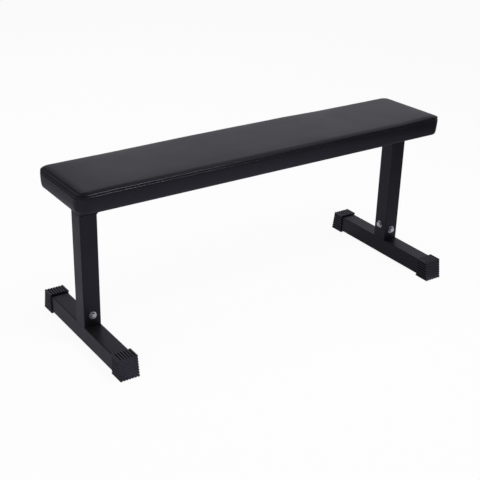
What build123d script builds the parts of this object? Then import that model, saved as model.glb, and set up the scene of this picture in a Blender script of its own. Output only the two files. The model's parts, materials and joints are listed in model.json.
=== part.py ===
"""Flat weight bench: a padded board on a square-tube frame with two uprights and two foot bars.

Millimetres, +Z up. The bench lies along X and stands on the floor at Z = 0, with the origin on the
floor under its middle. The front is -Y and the left end is -X.
"""

import os
from math import cos, radians, sin, sqrt, tan

from build123d import *

os.makedirs("parts", exist_ok=True)

# Square tube of the whole frame
TUBE = 45.0
TUBE_WALL = 1.5
TUBE_CORNER = 2.5

# Frame lengths
UPRIGHT_LENGTH = 295.0
FOOT_BAR_LENGTH = 393.0

# Pad outline and cross-section, outside the cover
PAD_LENGTH = 1087.0
PAD_WIDTH = 224.0
PAD_THICKNESS = 49.0
PAD_CORNER_RADIUS = 30.0
PAD_OVERHANG = 42.5
PAD_DRAW_IN = 2.3
PAD_FULL_HEIGHT = 20.0
SEAM_DRAW_IN = 0.8
PAD_EDGE_RISE = 6.0
PAD_EDGE_REACH = 8.0
PAD_EDGE_SECTIONS = 6
PAD_CROWN = 2.0
CROWN_INSET = 55.0
CROWN_SECTIONS = 3
CROWN_CORNER_RADIUS = 12.0

# Layers of the pad
COVER_THICKNESS = 1.2
COVER_GAP = 0.3
BOARD_THICKNESS = 15.0
HEM_WIDTH = 34.0
HEM_FRAME_GAP = 8.0

# Staples that hold the hem to the board
STAPLE_WIRE = 1.0
STAPLE_CROWN = 10.0
STAPLE_LEG = 8.0
STAPLE_PITCH = 70.0
STAPLE_GAP = 0.2

# Foot caps: ribbed rubber boots with a sloping outer end
CAP_WALL = 3.1
CAP_SOLE = 4.4
CAP_GAP = 0.2
CAP_GRIP = 30.0
CAP_END_WALL = 4.0
CAP_SLOPE = 8.3
CAP_EDGE_RADIUS = 2.0
CAP_TOP_RIBS = 7
CAP_SIDE_RIBS = 8
CAP_GROOVE_DEPTH = 2.0
CAP_END_GROOVE_DEPTH = 0.5

# Spigots that stand on the foot bars inside the uprights
SPIGOT_HEIGHT = 75.0
SPIGOT_WALL = 2.0
SPIGOT_GAP = 0.4
SPIGOT_CORNER = 3.0

# Leg bolts: one through the front face and one through the inner face of each upright
FRONT_BOLT_HEIGHT = 30.0
INNER_BOLT_HEIGHT = 43.5
LEG_BOLT = 8.0
LEG_HEAD_FLATS = 13.0
LEG_HEAD_HEIGHT = 5.3
LEG_HEAD_SLOPE = 30.0
LEG_WASHER = 20.0
LEG_WASHER_THICKNESS = 1.6
LEG_NUT_FLATS = 13.0
LEG_NUT_HEIGHT = 6.5
LEG_BOLT_TIP = 3.0

# Pad bolts and their tee nuts
PAD_BOLT = 8.0
PAD_HEAD_FLATS = 13.0
PAD_HEAD_HEIGHT = 5.3
PAD_HEAD_CHAMFER = 0.7
PAD_WASHER = 16.0
PAD_WASHER_THICKNESS = 1.6
PAD_BOLT_TIP_GAP = 0.6
TEE_FLANGE = 22.0
TEE_FLANGE_THICKNESS = 1.5
TEE_BARREL = 10.5
TEE_BARREL_LENGTH = 11.0

# Fits of all bolts
HOLE_GAP = 0.5
THREAD_GAP = 0.2

# Angle tabs that carry the pad, on both sides of the rail
TAB_INSET = 124.5
TAB_WIDTH = 40.0
TAB_THICKNESS = 4.0
TAB_DROP = 35.0
TAB_BEND = 2.0
TAB_HEM_GAP = 3.5
TAB_HOLE_EDGE = 18.0

# Plugs in the rail ends
PLUG_HEAD = 3.0
PLUG_DEPTH = 18.0
PLUG_WALL = 2.0
PLUG_GAP = 0.3
PLUG_EDGE_RADIUS = 1.0

# Fillet welds between uprights and rail
WELD_LEG = 4.0
WELD_CREST = 2.5

SIDES = {"left": -1, "right": 1}
ENDS = {"front": -1, "rear": 1}

# Heights above the floor
bar_bottom = CAP_SOLE + CAP_GAP
bar_top = bar_bottom + TUBE
upright_top = bar_top + UPRIGHT_LENGTH
rail_top = upright_top + TUBE
pad_bottom = rail_top - COVER_THICKNESS
board_top = rail_top + BOARD_THICKNESS
pad_seam = pad_bottom + PAD_THICKNESS - PAD_EDGE_RISE

# Distances from the middle of the bench
upright_outer = PAD_LENGTH / 2 - PAD_OVERHANG
upright_x = upright_outer - TUBE / 2
upright_inner = upright_x - TUBE / 2
rail_end_x = upright_outer - PLUG_HEAD
hem_outer_x = PAD_LENGTH / 2 - PAD_DRAW_IN
hem_outer_y = PAD_WIDTH / 2 - PAD_DRAW_IN
hem_inner_x = upright_outer + HEM_FRAME_GAP
hem_inner_y = hem_outer_y - HEM_WIDTH
tab_x = upright_inner - TAB_INSET
tab_tip = hem_inner_y - TAB_HEM_GAP
tab_hole_y = tab_tip - TAB_HOLE_EDGE
bar_end = FOOT_BAR_LENGTH / 2
cap_inner = bar_end - CAP_GRIP
cap_cavity_end = bar_end + CAP_GAP
cap_top_end = cap_cavity_end + CAP_END_WALL
cap_bottom_end = cap_top_end + CAP_SLOPE

# Sections that fit over or inside the tube
tube_bore = TUBE - 2 * TUBE_WALL
tube_bore_corner = TUBE_CORNER - TUBE_WALL
cap_cavity = TUBE + 2 * CAP_GAP
cap_width = cap_cavity + 2 * CAP_WALL
cap_height = cap_cavity + 2 * CAP_SOLE
spigot = tube_bore - 2 * SPIGOT_GAP
plug_insert = tube_bore - 2 * PLUG_GAP

# Bolt stacks
spigot_inner_depth = TUBE_WALL + SPIGOT_GAP + SPIGOT_WALL
leg_bolt_length = LEG_WASHER_THICKNESS + spigot_inner_depth + LEG_NUT_HEIGHT + LEG_BOLT_TIP
pad_head_seat = rail_top - TAB_THICKNESS - PAD_WASHER_THICKNESS
pad_bolt_length = board_top - PAD_BOLT_TIP_GAP - pad_head_seat


def leg_bolt_seats(side):
    """The planes on an upright's faces where its two bolts sit, facing outward."""
    front = Plane(
        origin=(side * upright_x, -TUBE / 2, bar_top + FRONT_BOLT_HEIGHT),
        x_dir=(1, 0, 0),
        z_dir=(0, -1, 0),
    )
    inner = Plane(
        origin=(side * upright_inner, 0, bar_top + INNER_BOLT_HEIGHT),
        x_dir=(0, 1, 0),
        z_dir=(-side, 0, 0),
    )
    return {"front": front, "inner": inner}


def pad_bolt_grid():
    """The four places of the pad bolts, seen from above."""
    return GridLocations(2 * tab_x, 2 * tab_hole_y, 2, 2)


def staple_rows():
    """Places of the staples along the hem: first those on the long sides, then those on the ends."""
    side_run = 2 * (hem_outer_x - PAD_CORNER_RADIUS) - STAPLE_CROWN
    end_run = 2 * (hem_outer_y - PAD_CORNER_RADIUS) - STAPLE_CROWN
    side_count = int(side_run // STAPLE_PITCH) + 1
    end_count = int(end_run // STAPLE_PITCH) + 1
    side_row = GridLocations(STAPLE_PITCH, hem_outer_y + hem_inner_y, side_count, 2)
    end_row = GridLocations(hem_outer_x + hem_inner_x, STAPLE_PITCH, 2, end_count)
    return side_row, end_row


def staple_leg_sketch(gap):
    """Sections of all staple legs, widened by a gap where they pass through something."""
    leg = STAPLE_WIRE + 2 * gap
    spread = STAPLE_CROWN - STAPLE_WIRE
    side_row, end_row = staple_rows()
    with BuildSketch() as legs:
        with side_row:
            with GridLocations(spread, 0, 2, 1):
                Rectangle(leg, leg)
        with end_row:
            with GridLocations(0, spread, 1, 2):
                Rectangle(leg, leg)
    return legs.sketch


def pad_levels(levels, ruled):
    """A solid through the pad's outline at several heights, each drawn in by its own inset."""
    with BuildPart() as form:
        for height, inset in levels:
            with BuildSketch(Plane.XY.offset(height)):
                RectangleRounded(
                    PAD_LENGTH - 2 * inset,
                    PAD_WIDTH - 2 * inset,
                    max(PAD_CORNER_RADIUS - inset, CROWN_CORNER_RADIUS),
                )
        loft(ruled=ruled)
    return form.part


def pad_sides(skin):
    """The pad below the seam: sides that swell and draw in again, taken in by a skin thickness."""
    levels = [
        (pad_bottom, PAD_DRAW_IN + skin),
        (pad_bottom + PAD_FULL_HEIGHT, skin),
        (pad_seam, SEAM_DRAW_IN + skin),
    ]
    return pad_levels(levels, ruled=False)


def pad_crown(skin):
    """The pad above the seam: a rounded edge and a crowned top, taken in by a skin thickness."""
    edge_rise = PAD_EDGE_RISE - skin
    edge_reach = PAD_EDGE_REACH - skin
    edge_top = pad_seam + edge_rise
    edge_inset = SEAM_DRAW_IN + PAD_EDGE_REACH
    levels = []
    for step in range(PAD_EDGE_SECTIONS + 1):
        angle = radians(90 * step / PAD_EDGE_SECTIONS)
        levels.append((pad_seam + edge_rise * sin(angle), edge_inset - edge_reach * cos(angle)))
    for step in range(1, CROWN_SECTIONS + 1):
        way_in = step / CROWN_SECTIONS
        rise = PAD_CROWN * (1 - (1 - way_in) ** 2)
        levels.append((edge_top + rise, edge_inset + (CROWN_INSET - edge_inset) * way_in))
    return pad_levels(levels, ruled=True)


def square_tube(plane, length):
    """A length of the frame's tube that stands on the plane."""
    with BuildPart() as tube:
        with BuildSketch(plane):
            RectangleRounded(TUBE, TUBE, TUBE_CORNER)
            RectangleRounded(tube_bore, tube_bore, tube_bore_corner, mode=Mode.SUBTRACT)
        extrude(amount=length)
    return tube.part


def save(part, name):
    part.label = name
    export_step(part, f"parts/{name}.step")


# Pad cover: a top panel and a side band that meet at the seam; the band turns in below as a hem
cover_crown = pad_crown(0)
cover_crown_inside = pad_crown(COVER_THICKNESS)
cover_sides = pad_sides(0)
cover_sides_inside = pad_sides(COVER_THICKNESS)
staple_holes = staple_leg_sketch(STAPLE_GAP)

with BuildPart() as pad_top_cover:
    add(cover_crown)
    add(cover_crown_inside, mode=Mode.SUBTRACT)
save(pad_top_cover.part, "pad_top_cover")

with BuildPart() as band_inside:
    add(cover_sides_inside)
    split(bisect_by=Plane.XY.offset(rail_top), keep=Keep.TOP)

with BuildPart() as pad_side_band:
    add(cover_sides)
    add(band_inside.part, mode=Mode.SUBTRACT)
    with BuildSketch(Plane.XY.offset(pad_bottom)):
        Rectangle(2 * hem_inner_x, 2 * hem_inner_y)
        add(staple_holes)
    extrude(amount=COVER_THICKNESS, mode=Mode.SUBTRACT)
save(pad_side_band.part, "pad_side_band")

# Foam block, on top of the board and just inside the cover
foam_crown = pad_crown(COVER_THICKNESS + COVER_GAP)
foam_sides = pad_sides(COVER_THICKNESS + COVER_GAP)

with BuildPart() as pad_foam:
    add(foam_sides)
    split(bisect_by=Plane.XY.offset(board_top), keep=Keep.TOP)
    add(foam_crown)
save(pad_foam.part, "pad_foam")

# Plywood board, with counterbored holes for the tee nuts and slits for the staple legs
board_inset = PAD_DRAW_IN + COVER_THICKNESS + COVER_GAP

with BuildPart() as pad_board:
    with BuildSketch(Plane.XY.offset(rail_top)):
        RectangleRounded(
            PAD_LENGTH - 2 * board_inset,
            PAD_WIDTH - 2 * board_inset,
            PAD_CORNER_RADIUS - board_inset,
        )
    extrude(amount=BOARD_THICKNESS)
    with Locations(Plane.XY.offset(board_top)):
        with pad_bolt_grid():
            CounterBoreHole(
                radius=TEE_BARREL / 2 + THREAD_GAP,
                counter_bore_radius=TEE_FLANGE / 2 + THREAD_GAP,
                counter_bore_depth=TEE_FLANGE_THICKNESS,
                depth=BOARD_THICKNESS,
            )
    with BuildSketch(Plane.XY.offset(pad_bottom)):
        add(staple_holes)
    extrude(amount=STAPLE_LEG + STAPLE_GAP, mode=Mode.SUBTRACT)
save(pad_board.part, "pad_board")

# Staples: a crown against the hem and two legs in the board
staple_legs = staple_leg_sketch(0)

with BuildPart() as pad_staples:
    side_row, end_row = staple_rows()
    with BuildSketch(Plane.XY.offset(pad_bottom)):
        with side_row:
            Rectangle(STAPLE_CROWN, STAPLE_WIRE)
        with end_row:
            Rectangle(STAPLE_WIRE, STAPLE_CROWN)
    extrude(amount=-STAPLE_WIRE)
    with BuildSketch(Plane.XY.offset(pad_bottom)):
        add(staple_legs)
    extrude(amount=STAPLE_LEG)
save(pad_staples.part, "pad_staples")

# Tee nuts, flush with the top of the board
with BuildPart() as pad_tee_nuts:
    with BuildSketch(Plane.XY.offset(board_top)):
        with pad_bolt_grid():
            Circle(TEE_FLANGE / 2)
            Circle(PAD_BOLT / 2 + THREAD_GAP, mode=Mode.SUBTRACT)
    extrude(amount=-TEE_FLANGE_THICKNESS)
    with BuildSketch(Plane.XY.offset(board_top - TEE_FLANGE_THICKNESS)):
        with pad_bolt_grid():
            Circle(TEE_BARREL / 2)
            Circle(PAD_BOLT / 2 + THREAD_GAP, mode=Mode.SUBTRACT)
    extrude(amount=-TEE_BARREL_LENGTH)
save(pad_tee_nuts.part, "pad_tee_nuts")

# Pad bolts, heads down, through the tabs into the tee nuts
with BuildPart() as pad_bolts:
    with BuildSketch(Plane.XY.offset(pad_head_seat)):
        with pad_bolt_grid():
            RegularPolygon(PAD_HEAD_FLATS / 2, 6, major_radius=False)
    extrude(amount=-PAD_HEAD_HEIGHT)
    chamfer(pad_bolts.faces().group_by(Axis.Z)[0].edges(), length=PAD_HEAD_CHAMFER)
    with BuildSketch(Plane.XY.offset(pad_head_seat)):
        with pad_bolt_grid():
            Circle(PAD_BOLT / 2)
    extrude(amount=pad_bolt_length)
save(pad_bolts.part, "pad_bolts")

with BuildPart() as pad_washers:
    with BuildSketch(Plane.XY.offset(pad_head_seat)):
        with pad_bolt_grid():
            Circle(PAD_WASHER / 2)
            Circle(PAD_BOLT / 2 + THREAD_GAP, mode=Mode.SUBTRACT)
    extrude(amount=PAD_WASHER_THICKNESS)
save(pad_washers.part, "pad_washers")

# Top rail under the pad, set back from the outer faces of the uprights by the heads of its plugs
rail_start = Plane(origin=(-rail_end_x, 0, rail_top - TUBE / 2), x_dir=(0, 1, 0), z_dir=(1, 0, 0))
rail_tube = square_tube(rail_start, 2 * rail_end_x)

with BuildPart() as top_rail:
    add(rail_tube)
save(top_rail.part, "top_rail")

# Plugs in the rail ends: a head flush with the uprights and a hollow insert
for side_name, side in SIDES.items():
    rail_end = Plane(
        origin=(side * rail_end_x, 0, rail_top - TUBE / 2), x_dir=(0, 1, 0), z_dir=(side, 0, 0)
    )
    with BuildPart() as rail_plug:
        with BuildSketch(rail_end):
            RectangleRounded(TUBE, TUBE, TUBE_CORNER)
        extrude(amount=PLUG_HEAD)
        fillet(rail_plug.faces().sort_by(Axis.X)[-1 if side > 0 else 0].edges(), PLUG_EDGE_RADIUS)
        with BuildSketch(rail_end):
            RectangleRounded(plug_insert, plug_insert, tube_bore_corner)
            insert_bore = plug_insert - 2 * PLUG_WALL
            Rectangle(insert_bore, insert_bore, mode=Mode.SUBTRACT)
        extrude(amount=-PLUG_DEPTH)
    save(rail_plug.part, f"rail_plug_{side_name}")

# Angle tabs: one leg on the side of the rail, the other under the board
for side_name, side in SIDES.items():
    for end_name, end in ENDS.items():
        tab_corner = Plane(
            origin=(side * tab_x, end * TUBE / 2, rail_top), x_dir=(0, end, 0), z_dir=(end, 0, 0)
        )
        tab_reach = tab_tip - TUBE / 2
        with BuildPart() as pad_tab:
            with BuildSketch(tab_corner) as profile:
                with BuildLine():
                    Polyline(
                        (0, 0),
                        (tab_reach, 0),
                        (tab_reach, -TAB_THICKNESS),
                        (TAB_THICKNESS, -TAB_THICKNESS),
                        (TAB_THICKNESS, -TAB_DROP),
                        (0, -TAB_DROP),
                        close=True,
                    )
                make_face()
                outer_corner = profile.vertices().sort_by_distance((0, 0))[0]
                fillet(outer_corner, TAB_BEND + TAB_THICKNESS)
                inner_corner = profile.vertices().sort_by_distance((TAB_THICKNESS, -TAB_THICKNESS))[0]
                fillet(inner_corner, TAB_BEND)
            extrude(amount=TAB_WIDTH / 2, both=True)
            with BuildSketch(Plane.XY.offset(rail_top)):
                with Locations((side * tab_x, end * tab_hole_y)):
                    Circle(PAD_BOLT / 2 + HOLE_GAP)
            extrude(amount=-TAB_THICKNESS, mode=Mode.SUBTRACT)
        save(pad_tab.part, f"pad_tab_{side_name}_{end_name}")

# Weld beads in the corner between each upright's inner face and the rail
for side_name, side in SIDES.items():
    weld_corner = Plane(
        origin=(side * upright_inner, 0, upright_top), x_dir=(-side, 0, 0), z_dir=(0, side, 0)
    )
    with BuildPart() as weld_bead:
        with BuildSketch(weld_corner):
            with BuildLine():
                Line((0, 0), (WELD_LEG, 0))
                ThreePointArc((WELD_LEG, 0), (WELD_CREST, -WELD_CREST), (0, -WELD_LEG))
                Line((0, -WELD_LEG), (0, 0))
            make_face()
        extrude(amount=TUBE / 2 - TUBE_CORNER, both=True)
    save(weld_bead.part, f"weld_bead_{side_name}")

# Uprights, with a bolt hole in the front face and one in the inner face
for side_name, side in SIDES.items():
    foot = Plane(origin=(side * upright_x, 0, bar_top))
    upright_tube = square_tube(foot, UPRIGHT_LENGTH)
    with BuildPart() as upright:
        add(upright_tube)
        for seat in leg_bolt_seats(side).values():
            with BuildSketch(seat):
                Circle(LEG_BOLT / 2 + HOLE_GAP)
            extrude(amount=-TUBE / 2, mode=Mode.SUBTRACT)
    save(upright.part, f"upright_{side_name}")

# Spigots on the foot bars, with the same holes, and the weld nuts inside them
for side_name, side in SIDES.items():
    seats = leg_bolt_seats(side)
    with BuildPart() as foot_spigot:
        with BuildSketch(Plane(origin=(side * upright_x, 0, bar_top))):
            RectangleRounded(spigot, spigot, SPIGOT_CORNER)
            spigot_bore = spigot - 2 * SPIGOT_WALL
            Rectangle(spigot_bore, spigot_bore, mode=Mode.SUBTRACT)
        extrude(amount=SPIGOT_HEIGHT)
        for seat in seats.values():
            with BuildSketch(seat):
                Circle(LEG_BOLT / 2 + HOLE_GAP)
            extrude(amount=-TUBE / 2, mode=Mode.SUBTRACT)
    save(foot_spigot.part, f"foot_spigot_{side_name}")

    with BuildPart() as spigot_nuts:
        for seat in seats.values():
            with BuildSketch(seat.offset(-spigot_inner_depth)):
                RegularPolygon(LEG_NUT_FLATS / 2, 6, major_radius=False)
                Circle(LEG_BOLT / 2 + THREAD_GAP, mode=Mode.SUBTRACT)
            extrude(amount=-LEG_NUT_HEIGHT)
    save(spigot_nuts.part, f"spigot_nuts_{side_name}")

# Leg bolts and washers
for side_name, side in SIDES.items():
    for seat_name, seat in leg_bolt_seats(side).items():
        with BuildPart() as leg_washer:
            with BuildSketch(seat):
                Circle(LEG_WASHER / 2)
                Circle(LEG_BOLT / 2 + THREAD_GAP, mode=Mode.SUBTRACT)
            extrude(amount=LEG_WASHER_THICKNESS)
        save(leg_washer.part, f"leg_washer_{side_name}_{seat_name}")

        head_seat = seat.offset(LEG_WASHER_THICKNESS)
        head_top_radius = LEG_HEAD_FLATS / 2
        head_cone_radius = head_top_radius + LEG_HEAD_HEIGHT / tan(radians(LEG_HEAD_SLOPE))
        with BuildPart() as leg_bolt:
            with BuildSketch(head_seat):
                RegularPolygon(LEG_HEAD_FLATS / 2, 6, major_radius=False)
            extrude(amount=LEG_HEAD_HEIGHT)
            with Locations(head_seat):
                Cone(
                    bottom_radius=head_cone_radius,
                    top_radius=head_top_radius,
                    height=LEG_HEAD_HEIGHT,
                    align=(Align.CENTER, Align.CENTER, Align.MIN),
                    mode=Mode.INTERSECT,
                )
            with BuildSketch(head_seat):
                Circle(LEG_BOLT / 2)
            extrude(amount=-leg_bolt_length)
        save(leg_bolt.part, f"leg_bolt_{side_name}_{seat_name}")

# Foot bars across the bench
for side_name, side in SIDES.items():
    bar_start = Plane(
        origin=(side * upright_x, -bar_end, bar_bottom + TUBE / 2), x_dir=(1, 0, 0), z_dir=(0, 1, 0)
    )
    bar_tube = square_tube(bar_start, FOOT_BAR_LENGTH)
    with BuildPart() as foot_bar:
        add(bar_tube)
    save(foot_bar.part, f"foot_bar_{side_name}")

# Foot caps: a boot over the bar end, ribbed lengthwise on four sides, with a sloping end face
top_rib_pitch = cap_width / CAP_TOP_RIBS
side_rib_pitch = cap_height / CAP_SIDE_RIBS
groove_square = CAP_GROOVE_DEPTH * sqrt(2)
end_groove_square = CAP_END_GROOVE_DEPTH * sqrt(2)

for side_name, side in SIDES.items():
    for end_name, end in ENDS.items():
        # In this plane u runs out towards the cap's end and v runs up from the floor
        profile_plane = Plane(origin=(side * upright_x, 0, 0), x_dir=(0, end, 0), z_dir=(end, 0, 0))
        mouth = Plane(
            origin=(side * upright_x, end * cap_inner, cap_height / 2), x_dir=(1, 0, 0), z_dir=(0, end, 0)
        )
        with BuildPart() as foot_cap:
            with BuildSketch(profile_plane):
                with BuildLine():
                    Polyline(
                        (cap_inner, 0),
                        (cap_bottom_end, 0),
                        (cap_top_end, cap_height),
                        (cap_inner, cap_height),
                        close=True,
                    )
                make_face()
            extrude(amount=cap_width / 2, both=True)
            fillet(foot_cap.edges().filter_by(Axis.Y), CAP_EDGE_RADIUS)
            with BuildSketch(mouth):
                RectangleRounded(cap_cavity, cap_cavity, TUBE_CORNER)
            extrude(amount=cap_cavity_end - cap_inner, mode=Mode.SUBTRACT)
            with BuildSketch(mouth):
                with GridLocations(top_rib_pitch, cap_height, CAP_TOP_RIBS - 1, 2):
                    Rectangle(groove_square, groove_square, rotation=45)
                with GridLocations(cap_width, side_rib_pitch, 2, CAP_SIDE_RIBS - 1):
                    Rectangle(groove_square, groove_square, rotation=45)
            extrude(amount=cap_bottom_end - cap_inner, mode=Mode.SUBTRACT)
            with BuildSketch(profile_plane):
                for rib in range(1, CAP_SIDE_RIBS):
                    height = rib * side_rib_pitch
                    reach = cap_bottom_end - CAP_SLOPE * height / cap_height
                    with Locations((reach, height)):
                        Rectangle(end_groove_square, end_groove_square, rotation=45)
            extrude(amount=cap_width / 2, both=True, mode=Mode.SUBTRACT)
        save(foot_cap.part, f"foot_cap_{side_name}_{end_name}")
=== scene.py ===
"""Looks of the flat weight bench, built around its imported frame.

Everything is in metres in the frame's own axes: +X along the bench to the right, +Y to the rear, +Z up.
"""

import json
import math
from collections import namedtuple

import bpy
import numpy as np
from mathutils import Matrix, Vector, noise


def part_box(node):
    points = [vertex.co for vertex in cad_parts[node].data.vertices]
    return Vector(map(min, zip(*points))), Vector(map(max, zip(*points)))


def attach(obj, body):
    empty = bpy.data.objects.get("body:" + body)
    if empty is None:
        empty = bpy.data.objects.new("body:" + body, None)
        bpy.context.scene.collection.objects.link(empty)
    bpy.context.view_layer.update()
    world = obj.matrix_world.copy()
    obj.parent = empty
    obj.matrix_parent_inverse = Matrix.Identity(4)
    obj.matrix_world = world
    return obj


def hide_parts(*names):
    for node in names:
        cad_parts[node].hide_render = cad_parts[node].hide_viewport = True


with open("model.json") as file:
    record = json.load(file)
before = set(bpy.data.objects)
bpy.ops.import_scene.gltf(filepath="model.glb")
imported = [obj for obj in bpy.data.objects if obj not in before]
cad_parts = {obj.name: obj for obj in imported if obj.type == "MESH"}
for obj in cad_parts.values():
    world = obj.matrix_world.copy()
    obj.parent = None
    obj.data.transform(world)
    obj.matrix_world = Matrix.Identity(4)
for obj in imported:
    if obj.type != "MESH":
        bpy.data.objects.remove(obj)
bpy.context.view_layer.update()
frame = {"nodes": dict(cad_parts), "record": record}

MM = 0.001
ROOT = "root"

# Camera of the photograph, in degrees and metres, for a square image
CAMERA_AZIMUTH = -34.705
CAMERA_ELEVATION = 25.512
CAMERA_ROLL = 1.59
CAMERA_DISTANCE = 2.6619
CAMERA_TARGET = Vector((-0.0366, -0.0009, 0.1632))
CAMERA_LENS_MM = 76.22
CAMERA_SENSOR_MM = 36.0

# Pad outline and heights from the frame, and the radius of its corners
BAND_LOW, BAND_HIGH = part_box("pad_side_band")
PAD_HALF_X = BAND_HIGH[0]
PAD_HALF_Y = BAND_HIGH[1]
PAD_FLOOR = BAND_LOW[2]
SEAM_HEIGHT = BAND_HIGH[2] - PAD_FLOOR
PAD_RADIUS = 30 * MM

# Sides of the pad: fullest at one height, drawn in below it and towards the seam
DRAW_IN = 2.3 * MM
FULL_HEIGHT = 20 * MM
SEAM_DRAW_IN = 1.6 * MM
SIDE_HEIGHTS = (5.5 * MM, 11 * MM, 17 * MM, 23 * MM, 29 * MM, 34.5 * MM)

# Rounded edge above the seam, and how the top rises from it towards its flat middle
EDGE_RISE = 4.5 * MM
EDGE_REACH = 5 * MM
SIDE_RISE = 2.2 * MM
SIDE_REACH = 11 * MM
END_RISE = 5 * MM
END_REACH = 23 * MM

# How the ends and corners depart from the long sides
END_SEAM_DROP = 4 * MM
END_EDGE_DROP = END_RISE - SIDE_RISE
END_EDGE_REACH = 3 * MM
CORNER_PUSH = 2.5 * MM

# Hem: the side band turned in under the board and folded into pleats at the corners
HEM_INSET = 36.3 * MM
HEM_INSETS = (HEM_INSET, 28 * MM, 20 * MM, 12 * MM)
HEM_START = 4 * MM
HEM_TURN_HEIGHT = 2 * MM
HEM_LEAST_RADIUS = 2 * MM
PLEAT_DEPTH = 1.2 * MM
PLEAT_COUNT = 9

# The turn from hem to side: (inset, height, whether the cloth simulation has this ring)
HEM_TURN = ((5.2 * MM, 0.0, False), (3.3 * MM, 0.5 * MM, True), (2.45 * MM, 1.8 * MM, False))

# Seam and stitches
SEAM_PINCH = 1.5 * MM
STITCH_DROP = 3.5 * MM
STITCH_PITCH = 4.2 * MM
STITCH_LENGTH = 3.2 * MM
STITCH_WIDTH = 1.2 * MM
STITCH_HEIGHT = 0.9 * MM
STITCH_LIFT = 0.1 * MM
STITCH_TAPER = 0.6
STITCH_LEAST_GIRTH = 0.08
STITCH_SIDES = 6
STITCH_SLICES = 6
STITCH_PULL = 0.5

# Groove at the seam: (place below it in steps of the stitches' drop, share of the pinch)
SEAM_STEPS = (
    (-1.5, 0.0), (-1.2, 0.1), (-1.0, STITCH_PULL), (-0.8, 0.9), (-0.6, 1.0), (-0.2, 1.0), (0.0, 1.0),
)

# Rounded edge above it: (degrees from the seam, share of the pinch), a share below 0 swells out
EDGE_TURNS = (
    (4, 0.7), (10, 0.1), (18, -0.4), (29, -0.4), (41, -0.2), (53, 0.0), (65, 0.0), (78, 0.0), (90, 0.0),
)
COARSE_EDGE_TURNS = (41, 65, 90)

# Cover and its mesh
COVER_THICKNESS = 1.1 * MM
CORNER_CELLS = 5
CELL = 7 * MM

# Cloth simulation of the cover, and the rise of the crown that it is scaled to
SIM_FRAMES = 20
SIM_QUALITY = 6
SIM_MASS = 0.4
SIM_STRETCH_STIFFNESS = 30
SIM_SHEAR_STIFFNESS = 20
SIM_BENDING_STIFFNESS = 2
SIM_PRESSURE = 4.0
SIM_CAP = 6 * MM
CROWN_RISE = 1.0 * MM
SOFTEN_STEPS = 16

# How far the upper edge of the pad rises or is drawn down: (place along X in metres, rise in millimetres)
FRONT_RISE = ((-0.54, 0.0), (-0.45, 1.0), (0.4, 1.0), (0.54, 4.0))
REAR_RISE = (
    (-0.54, -3.0), (-0.4, -2.5), (-0.1, -0.5), (0.15, -0.5), (0.3, -2.5), (0.42, -3.0), (0.54, -3.0),
)

# Unevenness of the foam: height, waves per metre along each axis, and the share that the seam takes away
UNEVEN = 0.25 * MM
BROAD_WAVES = Vector((9, 14, 20))
NARROW_WAVES = Vector((26, 30, 30))
NARROW_OFFSET = Vector((0, 0, 7))
NARROW_SHARE = 0.5
SEAM_CALM = 0.6

# Colours shared by materials, and the tint of their gloss and of the room
BLACK = (0.005, 0.005, 0.0058)
BLACK_DARK = (0.0042, 0.0042, 0.005)
BLACK_LIGHT = (0.0058, 0.0058, 0.0066)
COOL_GLOSS = (0.84, 0.8, 1.0)
ROOM_TINT = (0.9, 0.88, 1.0)
WHITE = (1.0, 1.0, 1.0)

# Studio: how much of plain white is seen and reflected, and the level of the room's own fill light
WORLD_FILL = 0.35
WORLD_SEEN = 1.0
WORLD_REFLECTED = 0.3
FLOOR_SIZE = 40
FLOOR_DROP = 0.5 * MM
FLOOR_COLOR = (0.85, 0.85, 0.85)
FLOOR_SEEN = 0.93
FLOOR_REFLECTED = 0.1

# Flags are cards seen in reflections alone, each for a part of the room with a brightness of its own.
# Standing and hanging ones: middle, directions of width and height, width, height, brightness
Card = namedtuple("Card", "middle across up width height brightness")
ROOM_FLAGS = {
    "flag_front": Card((0, -2.6, 1.3), (1, 0, 0), (0, 0, 1), 7, 2.6, 0.05),
    "flag_ceiling": Card((0.2, -0.9, 2.0), (0.94, -0.34, 0), (0.34, 0.94, 0), 8, 4.2, 0.03),
    "flag_left": Card((-1.27, 1.157, 1.72), (0.82, 0.57, 0), (0, 0, 1), 2.6, 2.6, 0.15),
    "flag_left_edge": Card((0.205, 2.18, 1.72), (0.82, 0.57, 0), (0, 0, 1), 0.98, 2.6, 0.46),
}

# Wide ones on the floor, and small ones that lie over them: range in X, range in Y, brightness
WIDE_FLAG_HEIGHT = 2 * MM
WIDE_FLAGS = {
    "flag_floor_front": ((-3.0, 1.2), (-2.6, -0.14), 0.53),
    "flag_floor_far": ((1.2, 4.2), (-2.6, -0.14), 0.02),
    "flag_floor_right": ((-0.42, 3.0), (-0.14, 1.2), 0.42),
    "flag_floor_left": ((-3.42, -0.42), (-0.14, 2.86), 0.37),
}
SMALL_FLAG_HEIGHT = 3 * MM
SMALL_FLAGS = {
    "flag_floor_near": ((-0.86, -0.58), (-0.14, 0.7), 0.57),
    "flag_floor_turn": ((0.655, 1.205), (-0.75, -0.15), 0.28),
    "flag_foot_left": ((-0.58, -0.48), (-0.25, 0.35), 0.38),
    "flag_foot_right": ((0.34, 0.46), (-0.25, 0.15), 0.25),
    "flag_foot_front": ((0.48, 0.62), (-0.5, -0.22), 0.25),
}

# Soft lamps: place, point they look at, width, height, watts, and whether they show in reflections
Lamp = namedtuple("Lamp", "place target width height watts reflected")
LAMPS = {
    "lamp_top": Lamp((-0.2, 0.3, 2.5), (0, 0, 0.3), 2.6, 1.8, 20, False),
    "lamp_left": Lamp((-2.6, 0.2, 1.2), (0, 0, 0.3), 1.6, 1.6, 12, False),
    "lamp_rear": Lamp((0.5, 2.6, 1.6), (0, 0, 0.35), 2.4, 1.2, 10, False),
    "lamp_strip": Lamp((0.28, -0.9, 1.9), (-0.4, -0.1, 0.43), 0.7, 0.25, 17, True),
}


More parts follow.
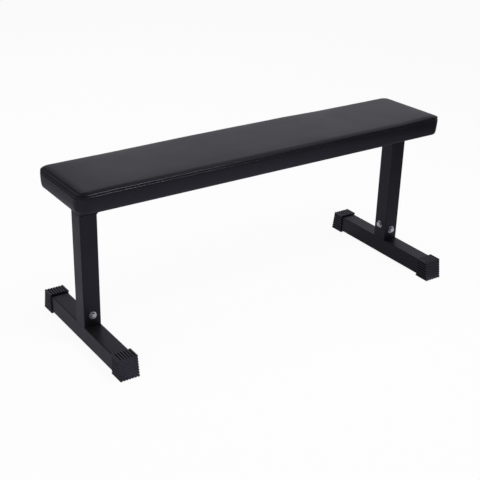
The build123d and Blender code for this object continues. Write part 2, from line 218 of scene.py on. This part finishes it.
def material(name, color, roughness, metallic=0.0, specular=0.5, gloss=WHITE):
    """A new node material and its principled shader, with the shader's main values set."""
    mat = bpy.data.materials.new(name)
    mat.use_nodes = True
    shader = mat.node_tree.nodes["Principled BSDF"]
    shader.inputs["Base Color"].default_value = (*color, 1.0)
    shader.inputs["Roughness"].default_value = roughness
    shader.inputs["Metallic"].default_value = metallic
    shader.inputs["Specular IOR Level"].default_value = specular
    shader.inputs["Specular Tint"].default_value = (*gloss, 1.0)
    return mat, shader


def add_node(mat, kind, **values):
    """A node of that kind, with values for its inputs by name or for its own settings."""
    node = mat.node_tree.nodes.new(kind)
    for key, value in values.items():
        if hasattr(node, key):
            setattr(node, key, value)
        else:
            node.inputs[key.replace("_", " ")].default_value = value
    return node


def link(mat, from_socket, to_socket):
    """Joins two sockets of a material."""
    mat.node_tree.links.new(from_socket, to_socket)


def object_coordinates(mat, scale=(1.0, 1.0, 1.0)):
    """Object coordinates in metres, stretched along the axes."""
    coords = add_node(mat, "ShaderNodeTexCoord")
    mapping = add_node(mat, "ShaderNodeMapping")
    mapping.inputs["Scale"].default_value = scale
    link(mat, coords.outputs["Object"], mapping.inputs["Vector"])
    return mapping.outputs["Vector"]


def noise_texture(mat, vector, scale, detail=4.0, rough=0.55):
    """A socket with cloudy noise, whose clouds are about 1 / scale metres wide."""
    tex = add_node(mat, "ShaderNodeTexNoise", Scale=scale, Detail=detail, Roughness=rough)
    link(mat, vector, tex.inputs["Vector"])
    return tex.outputs["Fac"]


def spread(mat, value, low, high):
    """Maps a texture's middle range to the range low to high."""
    remap = add_node(mat, "ShaderNodeMapRange", From_Min=0.3, From_Max=0.7, To_Min=low, To_Max=high)
    link(mat, value, remap.inputs["Value"])
    return remap.outputs["Result"]


def tint(mat, shader, value, dark, light):
    """Varies the base colour between two colours by a texture."""
    ramp = add_node(mat, "ShaderNodeValToRGB")
    ramp.color_ramp.elements[0].position = 0.3
    ramp.color_ramp.elements[0].color = (*dark, 1.0)
    ramp.color_ramp.elements[1].position = 0.7
    ramp.color_ramp.elements[1].color = (*light, 1.0)
    link(mat, value, ramp.inputs["Fac"])
    link(mat, ramp.outputs["Color"], shader.inputs["Base Color"])


def bump(mat, shader, heights):
    """Chains bumps: each entry is (height socket, strength, distance in metres)."""
    normal = None
    for height, strength, distance in heights:
        node = add_node(mat, "ShaderNodeBump", Strength=strength, Distance=distance)
        link(mat, height, node.inputs["Height"])
        if normal:
            link(mat, normal, node.inputs["Normal"])
        normal = node.outputs["Normal"]
    link(mat, normal, shader.inputs["Normal"])


def vinyl_material():
    """Black synthetic leather: fine pebble grain with soft, slightly uneven gloss."""
    mat, shader = material("pad_vinyl", BLACK, 0.36, specular=0.45, gloss=COOL_GLOSS)
    at = object_coordinates(mat)
    grain = add_node(mat, "ShaderNodeTexVoronoi", Scale=950.0, feature="SMOOTH_F1")
    grain.inputs["Smoothness"].default_value = 0.35
    link(mat, at, grain.inputs["Vector"])
    wrinkle = noise_texture(mat, at, 260.0, detail=5.0)
    patches = noise_texture(mat, at, 7.0, detail=3.0)
    tint(mat, shader, patches, BLACK_DARK, BLACK_LIGHT)
    link(mat, spread(mat, patches, 0.33, 0.39), shader.inputs["Roughness"])
    bump(mat, shader, [(wrinkle, 0.08, 0.4 * MM), (grain.outputs["Distance"], 0.2, 0.25 * MM)])
    return mat


def coat_material():
    """Satin black powder coat over steel: a fine orange peel and a few rubbed, duller places."""
    mat, shader = material("frame_coat", BLACK, 0.4, specular=0.45, gloss=COOL_GLOSS)
    at = object_coordinates(mat)
    peel = noise_texture(mat, at, 620.0, detail=2.0)
    patches = noise_texture(mat, at, 14.0, detail=5.0)
    tint(mat, shader, patches, BLACK_DARK, BLACK_LIGHT)
    link(mat, spread(mat, patches, 0.35, 0.45), shader.inputs["Roughness"])
    bump(mat, shader, [(peel, 0.12, 0.2 * MM)])
    return mat


def rubber_material():
    """Moulded rubber with painted shade: occlusion makes the grooves between the ribs black and dull, the
    open ribs a little shiny.
    """
    mat, shader = material("cap_rubber", (0.009, 0.009, 0.0102), 0.4, specular=0.4, gloss=COOL_GLOSS)
    at = object_coordinates(mat)
    speckle = noise_texture(mat, at, 900.0, detail=3.0)
    bloom = noise_texture(mat, at, 45.0, detail=6.0)
    # Painted shade: ambient occlusion darkens the base colour in the grooves between the ribs
    painted_groove_shade = add_node(mat, "ShaderNodeAmbientOcclusion", samples=8, only_local=True, Distance=5 * MM)
    unshaded_share = add_node(mat, "ShaderNodeMapRange", From_Min=0.72, From_Max=0.97)
    link(mat, painted_groove_shade.outputs["AO"], unshaded_share.inputs["Value"])
    tint(mat, shader, unshaded_share.outputs["Result"], (0.001, 0.001, 0.0012), (0.009, 0.009, 0.0102))
    # Painted shade on the gloss too: the specular level falls from 0.8 on the open ribs to 0.02 in the
    # grooves
    gloss = add_node(mat, "ShaderNodeMapRange", To_Min=0.02, To_Max=0.8)
    link(mat, unshaded_share.outputs["Result"], gloss.inputs["Value"])
    link(mat, gloss.outputs["Result"], shader.inputs["Specular IOR Level"])
    link(mat, spread(mat, bloom, 0.36, 0.46), shader.inputs["Roughness"])
    bump(mat, shader, [(speckle, 0.2, 0.15 * MM)])
    return mat


def zinc_material():
    """Bright zinc plating: cool silver with cloudy gloss, small dents and fine scratches."""
    mat, shader = material("zinc_steel", (0.72, 0.75, 0.77), 0.22, metallic=1.0)
    at = object_coordinates(mat)
    cloud = noise_texture(mat, at, 240.0, detail=4.0)
    dents = noise_texture(mat, at, 420.0, detail=2.0)
    scratch = noise_texture(mat, object_coordinates(mat, (300.0, 300.0, 4000.0)), 1.0, detail=2.0)
    tint(mat, shader, cloud, (0.62, 0.65, 0.68), (0.82, 0.84, 0.85))
    link(mat, spread(mat, cloud, 0.15, 0.3), shader.inputs["Roughness"])
    bump(mat, shader, [(dents, 0.35, 0.5 * MM), (scratch, 0.08, 0.05 * MM)])
    return mat


def plastic_material():
    """Matte black moulded plastic with a spark-eroded texture."""
    mat, shader = material("black_plastic", (0.012, 0.0122, 0.0135), 0.5, specular=0.4, gloss=COOL_GLOSS)
    at = object_coordinates(mat)
    texture = noise_texture(mat, at, 1400.0, detail=2.0)
    patches = noise_texture(mat, at, 60.0)
    tint(mat, shader, patches, (0.01, 0.0102, 0.0114), (0.014, 0.0142, 0.0158))
    link(mat, spread(mat, patches, 0.48, 0.6), shader.inputs["Roughness"])
    bump(mat, shader, [(texture, 0.15, 0.1 * MM)])
    return mat


def plywood_material():
    """Raw plywood: pale face veneer with long grain."""
    mat, shader = material("pad_board", (0.5, 0.36, 0.22), 0.65, specular=0.3)
    grain = noise_texture(mat, object_coordinates(mat, (3.0, 90.0, 90.0)), 1.6, detail=8.0, rough=0.65)
    pores = noise_texture(mat, object_coordinates(mat, (40.0, 1800.0, 1800.0)), 1.0, detail=2.0)
    tint(mat, shader, grain, (0.36, 0.23, 0.12), (0.6, 0.44, 0.27))
    link(mat, spread(mat, grain, 0.55, 0.75), shader.inputs["Roughness"])
    bump(mat, shader, [(grain, 0.15, 0.3 * MM), (pores, 0.15, 0.15 * MM)])
    return mat


def foam_material():
    """Open-cell upholstery foam."""
    mat, shader = material("pad_foam", (0.7, 0.66, 0.5), 0.9, specular=0.2)
    at = object_coordinates(mat)
    cells = add_node(mat, "ShaderNodeTexVoronoi", Scale=700.0)
    link(mat, at, cells.inputs["Vector"])
    patches = noise_texture(mat, at, 20.0)
    tint(mat, shader, patches, (0.64, 0.6, 0.44), (0.74, 0.7, 0.55))
    bump(mat, shader, [(cells.outputs["Distance"], 0.4, 0.5 * MM)])
    return mat


def thread_material():
    """Black polyester thread with a twist."""
    mat, shader = material("thread", (0.008, 0.008, 0.0092), 0.4, specular=0.6)
    twist = noise_texture(mat, object_coordinates(mat), 2200.0, detail=2.0)
    tint(mat, shader, twist, (0.006, 0.006, 0.007), (0.01, 0.01, 0.0115))
    bump(mat, shader, [(twist, 0.3, 0.15 * MM)])
    return mat


def paint_nodes(mats):
    """Gives each node of the frame the material of its slot in the record."""
    slot_of = {row["node"]: row["material_slot"] for row in frame["record"]["subparts"]}
    for name, obj in frame["nodes"].items():
        if not obj.material_slots:
            obj.data.materials.append(mats[slot_of[name]])
        for holder in obj.material_slots:
            holder.material = mats[slot_of[name]]


# The pad's surface is a grid over its top and rings down its sides. A grid line lies on the straight part
# of the outline or in a rounded corner, where it has a fraction of the way out from the corner's centre.
CENTER_X = PAD_HALF_X - PAD_RADIUS
CENTER_Y = PAD_HALF_Y - PAD_RADIUS
CELLS_X = round(2 * CENTER_X / CELL)
CELLS_Y = round(2 * CENTER_Y / CELL)
LINES_X = CELLS_X + 2 * CORNER_CELLS
LINES_Y = CELLS_Y + 2 * CORNER_CELLS


def grid_line(index, cells, center):
    """(place on the straight part, fraction of the way out in a corner) of one grid line."""
    straight = min(max(index - CORNER_CELLS, 0), cells)
    return center * (2 * straight / cells - 1), (index - CORNER_CELLS - straight) / CORNER_CELLS


def grid_point(i, j):
    """(base x, base y, direction x, direction y): a point lies at base + radius * direction."""
    base_x, p = grid_line(i, CELLS_X, CENTER_X)
    base_y, q = grid_line(j, CELLS_Y, CENTER_Y)
    return base_x, base_y, p * math.sqrt(1 - q * q / 2), q * math.sqrt(1 - p * p / 2)


def outline_indices():
    """Grid indices round the edge of the top, counter-clockwise from the front left corner."""
    front = [(i, 0) for i in range(LINES_X)]
    right = [(LINES_X, j) for j in range(LINES_Y)]
    rear = [(i, LINES_Y) for i in range(LINES_X, 0, -1)]
    left = [(0, j) for j in range(LINES_Y, 0, -1)]
    return front + right + rear + left


OUTLINE = outline_indices()
OUTLINE_POINTS = np.array([grid_point(i, j) for i, j in OUTLINE])
OUTLINE_BASES = OUTLINE_POINTS[:, :2]
OUTLINE_DIRECTIONS = OUTLINE_POINTS[:, 2:]


def side_inset(height):
    """How far the side lies inside the fullest outline at a height above the pad's underside."""
    if height < FULL_HEIGHT:
        return DRAW_IN * ((FULL_HEIGHT - height) / FULL_HEIGHT) ** 2
    return SEAM_DRAW_IN * ((height - FULL_HEIGHT) / (SEAM_HEIGHT - FULL_HEIGHT)) ** 2


def edge_ring(angle):
    """(inset, height) on the rounded edge above the seam, from 0 at the seam to 90 degrees on top."""
    turn = math.radians(angle)
    inset = SEAM_DRAW_IN + EDGE_REACH * (1 - math.cos(turn))
    return inset, SEAM_HEIGHT + EDGE_RISE * math.sin(turn)


# One ring of the cover: its inset and height, whether the simulation has it and whether it is held there,
# and its share of the seam's pinch
Ring = namedtuple("Ring", "inset height coarse held pull")


def pad_profile():
    """Rings of the cover from the hem's inner edge to the top."""
    rings = [Ring(inset, 0.0, True, True, 0.0) for inset in HEM_INSETS]
    for inset, height, coarse in HEM_TURN:
        rings.append(Ring(inset, height, coarse, True, 0.0))
    for height in SIDE_HEIGHTS:
        rings.append(Ring(side_inset(height), height, True, False, 0.0))
    for step, pull in SEAM_STEPS:
        height = SEAM_HEIGHT + step * STITCH_DROP
        at_seam = step == 0.0
        rings.append(Ring(side_inset(height), height, at_seam, at_seam, pull))
    for angle, pull in EDGE_TURNS:
        inset, height = edge_ring(angle)
        rings.append(Ring(inset, height, angle in COARSE_EDGE_TURNS, False, pull))
    return rings


PROFILE = pad_profile()


def shoulder(x, y):
    """How far the top has risen above its rounded edge at the sides, towards its flat middle."""
    inset, _ = edge_ring(90)
    past_x = max(abs(x) - (PAD_HALF_X - inset - END_REACH), 0) / END_REACH
    past_y = max(abs(y) - (PAD_HALF_Y - inset - SIDE_REACH), 0) / SIDE_REACH
    return SIDE_RISE - END_RISE * min(past_x, 1) ** 2 - SIDE_RISE * min(past_y, 1) ** 2


def end_shift(height):
    """How far a ring is lowered and taken in at the ends, and pushed out at the corners."""
    low = min(max((height - FULL_HEIGHT) / (SEAM_HEIGHT - FULL_HEIGHT), 0), 1)
    way = min(max((height - SEAM_HEIGHT) / EDGE_RISE, 0), 1)
    drop = low * (END_SEAM_DROP + (END_EDGE_DROP - END_SEAM_DROP) * way)
    inset = END_EDGE_REACH * (1 - math.sqrt(1 - way * way))
    return drop, inset, CORNER_PUSH * low * (1 - 0.5 * way)


def ring_points(inset, height):
    """Points of one ring. Where the inset passes the corner's radius, the whole outline shrinks."""
    radius = max(PAD_RADIUS - inset, HEM_LEAST_RADIUS)
    shrink = inset - (PAD_RADIUS - radius)
    points = np.zeros((len(OUTLINE), 3))
    points[:, 0] = OUTLINE_BASES[:, 0] * (1 - shrink / CENTER_X) + radius * OUTLINE_DIRECTIONS[:, 0]
    points[:, 1] = OUTLINE_BASES[:, 1] * (1 - shrink / CENTER_Y) + radius * OUTLINE_DIRECTIONS[:, 1]
    points[:, 2] = PAD_FLOOR + height
    drop, end_inset, push = end_shift(height)
    endwise = OUTLINE_DIRECTIONS[:, 0] ** 2
    corner = (2 * OUTLINE_DIRECTIONS[:, 0] * OUTLINE_DIRECTIONS[:, 1]) ** 2
    points[:, :2] += OUTLINE_DIRECTIONS * (push * corner - end_inset * endwise)[:, None]
    points[:, 2] -= drop * endwise
    return points


def top_points():
    """Inner points of the top's grid by their indices."""
    inset, height = edge_ring(90)
    radius = PAD_RADIUS - inset
    points = {}
    for i in range(1, LINES_X):
        for j in range(1, LINES_Y):
            base_x, base_y, dir_x, dir_y = grid_point(i, j)
            x = base_x + radius * dir_x
            y = base_y + radius * dir_y
            points[i, j] = (x, y, PAD_FLOOR + height + shoulder(x, y))
    return points


def cover_mesh(name, rings, top):
    """A mesh over stacked rings and the top's grid. rings is a list of arrays, top a dict of points."""
    count = len(OUTLINE)
    verts = np.concatenate(rings + [np.array(list(top.values()))])
    faces = []
    for ring in range(len(rings) - 1):
        low, high = ring * count, (ring + 1) * count
        for k in range(count):
            n = (k + 1) % count
            faces.append((low + k, low + n, high + n, high + k))
    index = {key: (len(rings) - 1) * count + k for k, key in enumerate(OUTLINE)}
    index.update({key: len(rings) * count + k for k, key in enumerate(top)})
    for i in range(LINES_X):
        for j in range(LINES_Y):
            faces.append((index[i, j], index[i + 1, j], index[i + 1, j + 1], index[i, j + 1]))
    mesh = bpy.data.meshes.new(name)
    mesh.from_pydata(verts.tolist(), [], faces)
    mesh.update()
    return mesh


def new_object(name, mesh):
    """An object of that mesh in the scene."""
    obj = bpy.data.objects.new(name, mesh)
    bpy.context.scene.collection.objects.link(obj)
    return obj


def mesh_points(mesh):
    """The mesh's points as rows of an array."""
    points = np.zeros(len(mesh.vertices) * 3)
    mesh.vertices.foreach_get("co", points)
    return points.reshape(-1, 3)


def inflate(rings, top, held):
    """Swells the cover with cloth under pressure, the held rings pinned; returns how each point moved."""
    obj = new_object("cover_sim", cover_mesh("cover_sim", rings, top))
    count = len(OUTLINE)
    pins = obj.vertex_groups.new(name="held")
    for ring, is_held in enumerate(held):
        if is_held:
            pins.add(range(ring * count, (ring + 1) * count), 1.0, "REPLACE")
    cloth = obj.modifiers.new("cloth", "CLOTH")
    cloth.settings.quality = SIM_QUALITY
    cloth.settings.mass = SIM_MASS
    cloth.settings.tension_stiffness = SIM_STRETCH_STIFFNESS
    cloth.settings.compression_stiffness = SIM_STRETCH_STIFFNESS
    cloth.settings.shear_stiffness = SIM_SHEAR_STIFFNESS
    cloth.settings.bending_stiffness = SIM_BENDING_STIFFNESS
    cloth.settings.use_pressure = True
    cloth.settings.uniform_pressure_force = SIM_PRESSURE
    cloth.settings.effector_weights.gravity = 0
    cloth.settings.vertex_group_mass = pins.name
    cloth.point_cache.frame_start = 1
    cloth.point_cache.frame_end = SIM_FRAMES
    scene = bpy.context.scene
    for number in range(1, SIM_FRAMES + 1):
        scene.frame_set(number)
    swollen = obj.evaluated_get(bpy.context.evaluated_depsgraph_get())
    moved = mesh_points(swollen.data) - mesh_points(obj.data)
    scene.frame_set(1)
    bpy.data.objects.remove(obj)
    length = np.linalg.norm(moved, axis=1, keepdims=True)
    moved *= np.minimum(1.0, SIM_CAP / np.maximum(length, 1e-9))
    print("cover swelled by", round(float(length.max()) / MM, 2), "mm before the cap")
    return moved


def soften(edge_moves, top_moves, top):
    """Evens out how the top's points move, as the foam under the cover does."""
    field = np.zeros((LINES_X + 1, LINES_Y + 1, 3))
    for key, move in zip(OUTLINE, edge_moves):
        field[key] = move
    for key, move in zip(top, top_moves):
        field[key] = move
    for _ in range(SOFTEN_STEPS):
        around = field[2:, 1:-1] + field[:-2, 1:-1] + field[1:-1, 2:] + field[1:-1, :-2]
        field[1:-1, 1:-1] = (field[1:-1, 1:-1] + around / 4) / 2
    return np.array([field[key] for key in top])


def swell():
    """How far the cover swells at each ring of the profile and at each inner point of the top."""
    count = len(OUTLINE)
    coarse = [k for k, ring in enumerate(PROFILE) if ring.coarse]
    top = top_points()
    rings = [ring_points(PROFILE[k].inset, PROFILE[k].height) for k in coarse]
    moves = inflate(rings, top, [PROFILE[k].held for k in coarse])
    ring_moves = [moves[n * count:(n + 1) * count] for n in range(len(coarse))]
    top_moves = moves[len(coarse) * count:]
    top_moves = soften(ring_moves[-1], top_moves, top)
    gain = CROWN_RISE / top_moves[:, 2].max()
    steps = [math.dist(a[:2], b[:2]) for a, b in zip(PROFILE, PROFILE[1:])]
    run = np.cumsum([0.0] + steps)
    all_moves = []
    for k in range(len(PROFILE)):
        n = int(np.searchsorted(run[coarse], run[k], side="right")) - 1
        n = min(n, len(coarse) - 2)
        way = (run[k] - run[coarse[n]]) / (run[coarse[n + 1]] - run[coarse[n]])
        all_moves.append(gain * (ring_moves[n] * (1 - way) + ring_moves[n + 1] * way))
    return all_moves, gain * top_moves, top


def ripple(x, y, z):
    """Slow unevenness of the foam, between about -1 and 1."""
    place = Vector((x, y, z))
    broad = noise.noise(place * BROAD_WAVES)
    narrow = noise.noise(place * NARROW_WAVES + NARROW_OFFSET)
    return broad + NARROW_SHARE * narrow


def rise_at(x, stations):
    """A smooth curve through stations of (place, millimetres), in metres."""
    places, rises = zip(*stations)
    n = min(max(int(np.searchsorted(places, x)) - 1, 0), len(places) - 2)
    way = min(max((x - places[n]) / (places[n + 1] - places[n]), 0), 1)
    way = way * way * (3 - 2 * way)
    return MM * (rises[n] * (1 - way) + rises[n + 1] * way)


def edge_rise(x, y, z):
    """How far the sewn pad departs from an even height: nothing at its underside, all at the seam."""
    share = min(max((z - PAD_FLOOR) / SEAM_HEIGHT, 0), 1)
    to_rear = min(max((1 + y / PAD_HALF_Y) / 2, 0), 1)
    return share ** 2 * (rise_at(x, FRONT_RISE) * (1 - to_rear) + rise_at(x, REAR_RISE) * to_rear)


def sewn_ring(ring, move, outward):
    """Points of one ring with its swelling, its share of the pinch, and unevenness or pleats."""
    points = ring_points(ring.inset, ring.height) + move
    uneven = np.array([ripple(*point) for point in points])
    if ring.height > HEM_TURN_HEIGHT:
        shift = UNEVEN * uneven * (1 - SEAM_CALM * ring.pull) - SEAM_PINCH * ring.pull
        points += outward * shift[:, None]
        points[:, 2] += [edge_rise(*point) for point in points]
        if ring.height > SEAM_HEIGHT:
            points[:, 2] += UNEVEN * uneven * (ring.height - SEAM_HEIGHT) / EDGE_RISE
    elif ring.inset > HEM_START:
        depth = (ring.inset - HEM_START) / (HEM_INSET - HEM_START)
        corner = np.abs(outward[:, 0] * outward[:, 1]) * 2
        turn = np.arctan2(outward[:, 1], outward[:, 0])
        points[:, 2] -= PLEAT_DEPTH * depth * corner * np.abs(np.sin(PLEAT_COUNT * turn))
    return points


def build_pad(mats):
    """The upholstered pad with its seam, hem and pleats, and the ring that the stitches follow."""
    ring_moves, top_moves, top = swell()
    outward = np.zeros((len(OUTLINE), 3))
    outward[:, :2] = OUTLINE_DIRECTIONS
    rings = [sewn_ring(ring, move, outward) for ring, move in zip(PROFILE, ring_moves)]
    for number, key in enumerate(top):
        point = np.array(top[key]) + top_moves[number]
        point[2] += UNEVEN * ripple(*point) + edge_rise(*point)
        top[key] = tuple(point)
    mesh = cover_mesh("pad_upholstery", rings, top)
    mesh.polygons.foreach_set("use_smooth", [True] * len(mesh.polygons))
    pad = new_object("pad_upholstery", mesh)
    pad.data.materials.append(mats["pad_vinyl"])
    skin = pad.modifiers.new("skin", "SOLIDIFY")
    skin.thickness = COVER_THICKNESS
    skin.offset = -1.0
    smooth = pad.modifiers.new("smooth", "SUBSURF")
    smooth.levels = 1
    smooth.render_levels = 1
    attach(pad, ROOT)
    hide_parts("pad_top_cover", "pad_side_band", "pad_foam")
    stitch_ring = [ring.pull for ring in PROFILE].index(STITCH_PULL)
    return rings[stitch_ring], outward


def stitch_points(middle, forward, normal):
    """Points of one stitch: a small flattened loop of thread that thins towards its ends."""
    up = np.cross(normal, forward)
    points = []
    for number in range(STITCH_SLICES + 1):
        phase = math.pi * number / STITCH_SLICES
        step = -math.cos(phase) * STITCH_LENGTH / 2
        girth = max(math.sin(phase), STITCH_LEAST_GIRTH) ** STITCH_TAPER
        for side in range(STITCH_SIDES):
            angle = 2 * math.pi * side / STITCH_SIDES
            width = girth * math.cos(angle) * STITCH_WIDTH / 2
            height = girth * math.sin(angle) * STITCH_HEIGHT / 2 + STITCH_LIFT * math.sin(phase)
            points.append(tuple(middle + forward * step + up * width + normal * height))
    return points


def stitch_faces(start):
    """Faces of one stitch whose points begin at an index: its sides and its two ends."""
    faces = []
    for number in range(STITCH_SLICES):
        for side in range(STITCH_SIDES):
            a = start + number * STITCH_SIDES + side
            b = start + number * STITCH_SIDES + (side + 1) % STITCH_SIDES
            faces.append((a, b, b + STITCH_SIDES, a + STITCH_SIDES))
    last = start + STITCH_SLICES * STITCH_SIDES
    faces.append(tuple(range(start + STITCH_SIDES - 1, start - 1, -1)))
    faces.append(tuple(range(last, last + STITCH_SIDES)))
    return faces


def build_stitches(ring, outward, mats):
    """A row of stitches on the side band just below the seam."""
    closed = np.vstack([ring, ring[:1]])
    normals = np.vstack([outward, outward[:1]])
    run = np.concatenate([[0.0], np.cumsum(np.linalg.norm(np.diff(closed, axis=0), axis=1))])

    def at(place, rows):
        return np.array([np.interp(place, run, rows[:, axis]) for axis in range(3)])

    count = round(run[-1] / STITCH_PITCH)
    verts, faces = [], []
    for number in range(count):
        place = run[-1] * (number + 0.5) / count
        forward = at((place + STITCH_LENGTH / 2) % run[-1], closed)
        forward -= at((place - STITCH_LENGTH / 2) % run[-1], closed)
        forward /= np.linalg.norm(forward)
        faces += stitch_faces(len(verts))
        verts += stitch_points(at(place, closed), forward, at(place, normals))
    mesh = bpy.data.meshes.new("pad_stitches")
    mesh.from_pydata(verts, [], faces)
    mesh.polygons.foreach_set("use_smooth", [True] * len(mesh.polygons))
    mesh.update()
    stitches = new_object("pad_stitches", mesh)
    mesh.materials.append(mats["thread"])
    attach(stitches, ROOT)


def build_camera():
    """A camera where the photograph was taken from."""
    azimuth, elevation, roll = (
        math.radians(a) for a in (CAMERA_AZIMUTH, CAMERA_ELEVATION, CAMERA_ROLL)
    )
    back = Vector((
        math.sin(azimuth) * math.cos(elevation),
        -math.cos(azimuth) * math.cos(elevation),
        math.sin(elevation),
    ))
    level = Vector((0, 0, 1)).cross(back).normalized()
    upright = back.cross(level)
    right = level * math.cos(roll) + upright * math.sin(roll)
    up = upright * math.cos(roll) - level * math.sin(roll)
    data = bpy.data.cameras.new("camera")
    data.lens = CAMERA_LENS_MM
    data.sensor_fit = "HORIZONTAL"
    data.sensor_width = CAMERA_SENSOR_MM
    camera = bpy.data.objects.new("camera", data)
    rotation = Matrix((right, up, back)).transposed()
    camera.matrix_world = Matrix.Translation(CAMERA_TARGET + back * CAMERA_DISTANCE) @ rotation.to_4x4()
    bpy.context.scene.collection.objects.link(camera)
    bpy.context.scene.camera = camera


def background_share(tree, camera, reflected):
    """A socket with the share of plain white that camera rays, and glossy and transmission rays, see."""
    path = tree.nodes.new("ShaderNodeLightPath")
    total = None
    for name, share in (
        ("Is Camera Ray", camera),
        ("Is Glossy Ray", reflected),
        ("Is Transmission Ray", reflected),
    ):
        part = tree.nodes.new("ShaderNodeMath")
        part.operation = "MULTIPLY_ADD"
        part.use_clamp = True
        part.inputs[1].default_value = share
        part.inputs[2].default_value = 0.0
        tree.links.new(path.outputs[name], part.inputs[0])
        if total:
            tree.links.new(total, part.inputs[2])
        total = part.outputs[0]
    return total


def mix_by_share(tree, share, plain, white, output):
    """Shows the white shader by its share and the plain one otherwise."""
    mix = tree.nodes.new("ShaderNodeMixShader")
    tree.links.new(share, mix.inputs["Fac"])
    tree.links.new(plain, mix.inputs[1])
    tree.links.new(white, mix.inputs[2])
    tree.links.new(mix.outputs["Shader"], output)


def build_world():
    """White where it is seen, and a soft grey fill as light."""
    world = bpy.data.worlds.new("studio")
    world.use_nodes = True
    bpy.context.scene.world = world
    tree = world.node_tree
    fill = tree.nodes["Background"]
    fill.inputs["Color"].default_value = (*ROOM_TINT, 1.0)
    fill.inputs["Strength"].default_value = WORLD_FILL
    white = tree.nodes.new("ShaderNodeBackground")
    white.inputs["Color"].default_value = (*WHITE, 1.0)
    white.inputs["Strength"].default_value = 1.0
    share = background_share(tree, WORLD_SEEN, WORLD_REFLECTED)
    output = tree.nodes["World Output"].inputs["Surface"]
    mix_by_share(tree, share, fill.outputs["Background"], white.outputs["Background"], output)


def flat_panel(name, card):
    """A single quad of the studio, as large and where the card says."""
    x_half = Vector(card.across).normalized() * card.width / 2
    y_half = Vector(card.up).normalized() * card.height / 2
    middle = Vector(card.middle)
    corners = [middle + a * x_half + b * y_half for a, b in ((-1, -1), (1, -1), (1, 1), (-1, 1))]
    mesh = bpy.data.meshes.new(name)
    mesh.from_pydata([tuple(corner) for corner in corners], [], [(0, 1, 2, 3)])
    panel = new_object(name, mesh)
    return panel


def build_floor():
    """A pale floor that shows nearly white and still takes the bench's shadow."""
    card = Card((0, 0, -FLOOR_DROP), (1, 0, 0), (0, 1, 0), FLOOR_SIZE, FLOOR_SIZE, 1.0)
    floor = flat_panel("floor", card)
    mat, shader = material("floor", FLOOR_COLOR, 0.9, specular=0.0)
    tree = mat.node_tree
    glow = tree.nodes.new("ShaderNodeEmission")
    glow.inputs["Color"].default_value = (*WHITE, 1.0)
    glow.inputs["Strength"].default_value = card.brightness
    share = background_share(tree, FLOOR_SEEN, FLOOR_REFLECTED)
    output = tree.nodes["Material Output"].inputs["Surface"]
    mix_by_share(tree, share, shader.outputs["BSDF"], glow.outputs["Emission"], output)
    floor.data.materials.append(mat)


def build_flag(name, card):
    """A card that stands for a part of the room, seen in reflections alone."""
    flag = flat_panel(name, card)
    mat, shader = material(name, (0.0, 0.0, 0.0), 1.0, specular=0.0)
    shader.inputs["Emission Color"].default_value = (*ROOM_TINT, 1.0)
    shader.inputs["Emission Strength"].default_value = card.brightness
    flag.data.materials.append(mat)
    flag.visible_camera = False
    flag.visible_shadow = False
    flag.visible_diffuse = False
    flag.visible_transmission = False


def floor_card(x_range, y_range, height, brightness):
    """A card that lies level over a range of the floor."""
    middle = (sum(x_range) / 2, sum(y_range) / 2, height)
    width, depth = (high - low for low, high in (x_range, y_range))
    return Card(middle, (1, 0, 0), (0, 1, 0), width, depth, brightness)


def build_lamp(name, lamp):
    """A soft rectangular lamp that looks at its target and shows in reflections only where asked."""
    data = bpy.data.lights.new(name, "AREA")
    data.shape = "RECTANGLE"
    data.size = lamp.width
    data.size_y = lamp.height
    data.energy = lamp.watts
    obj = bpy.data.objects.new(name, data)
    obj.location = lamp.place
    toward = Vector(lamp.target) - Vector(lamp.place)
    obj.rotation_euler = toward.to_track_quat("-Z", "Y").to_euler()
    obj.visible_camera = False
    obj.visible_glossy = lamp.reflected
    bpy.context.scene.collection.objects.link(obj)


def build_studio():
    """World, floor, flags and lamps."""
    build_world()
    build_floor()
    for name, card in ROOM_FLAGS.items():
        build_flag(name, card)
    for flags, height in ((WIDE_FLAGS, WIDE_FLAG_HEIGHT), (SMALL_FLAGS, SMALL_FLAG_HEIGHT)):
        for name, (x_range, y_range, brightness) in flags.items():
            build_flag(name, floor_card(x_range, y_range, height, brightness))
    for name, lamp in LAMPS.items():
        build_lamp(name, lamp)


def main():
    """Builds the looks, the camera and the studio."""
    scene = bpy.context.scene
    scene.view_settings.view_transform = "Standard"
    mats = {
        "pad_vinyl": vinyl_material(),
        "pad_foam": foam_material(),
        "pad_board": plywood_material(),
        "frame_coat": coat_material(),
        "zinc_steel": zinc_material(),
        "cap_rubber": rubber_material(),
        "black_plastic": plastic_material(),
        "thread": thread_material(),
    }
    build_camera()
    paint_nodes(mats)
    stitch_ring, outward = build_pad(mats)
    build_stitches(stitch_ring, outward, mats)
    build_studio()


main()
